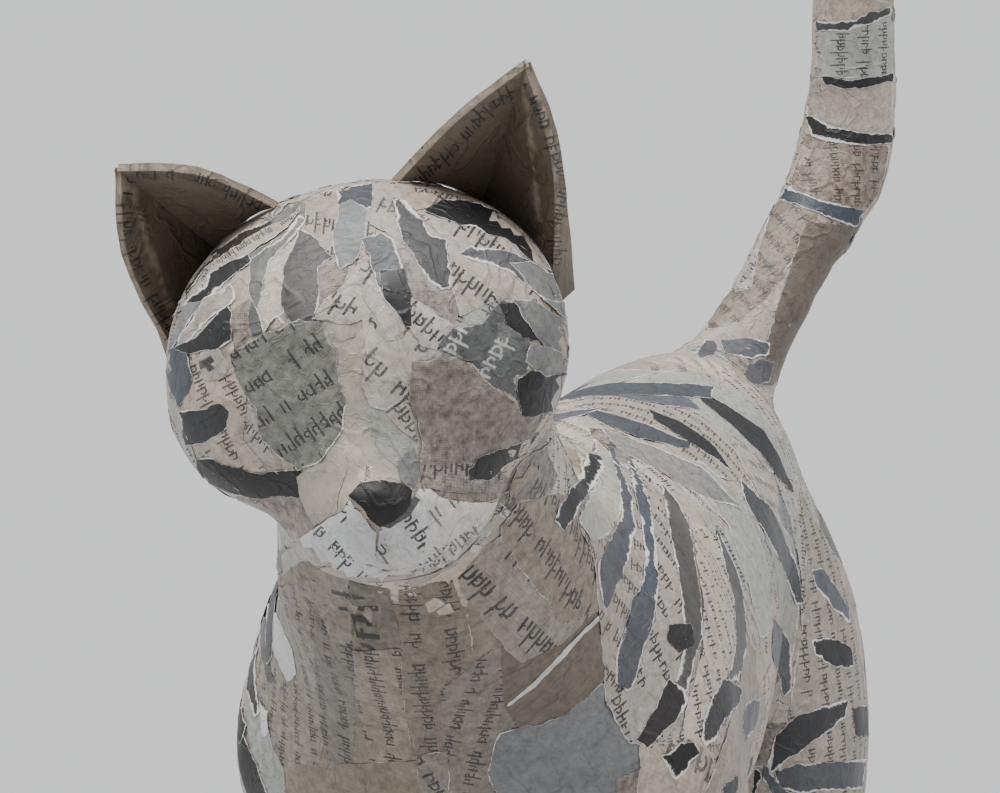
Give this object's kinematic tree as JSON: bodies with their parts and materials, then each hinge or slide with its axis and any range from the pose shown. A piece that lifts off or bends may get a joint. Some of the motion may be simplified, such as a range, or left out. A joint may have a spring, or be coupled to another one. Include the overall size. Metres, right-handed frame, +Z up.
{
  "type": "papier-mache cat ornament",
  "caption": "Standing tabby cat of pasted torn paper, tail raised and head turned, with ears folded from stiff printed paper. A free-standing ornament.",
  "frame": {"origin": "middle of the footprint box, on the plane that the paws stand on", "axes": "+Z up, -Y the way the cat faces, +X the cat's own left side; the width along X is the shortest extent and the length along Y the longest"},
  "size_m": [0.0918, 0.3278, 0.3125],
  "materials": {
    "pasted_paper": "torn pasted paper in beige, grey and black with a thin satin glaze",
    "ear_paper": "stiff brown printed paper, matt"
  },
  "bodies": {
    "root": {"cat_body": "pasted_paper", "left_ear": "ear_paper", "right_ear": "ear_paper"}
  },
  "joints": []
}
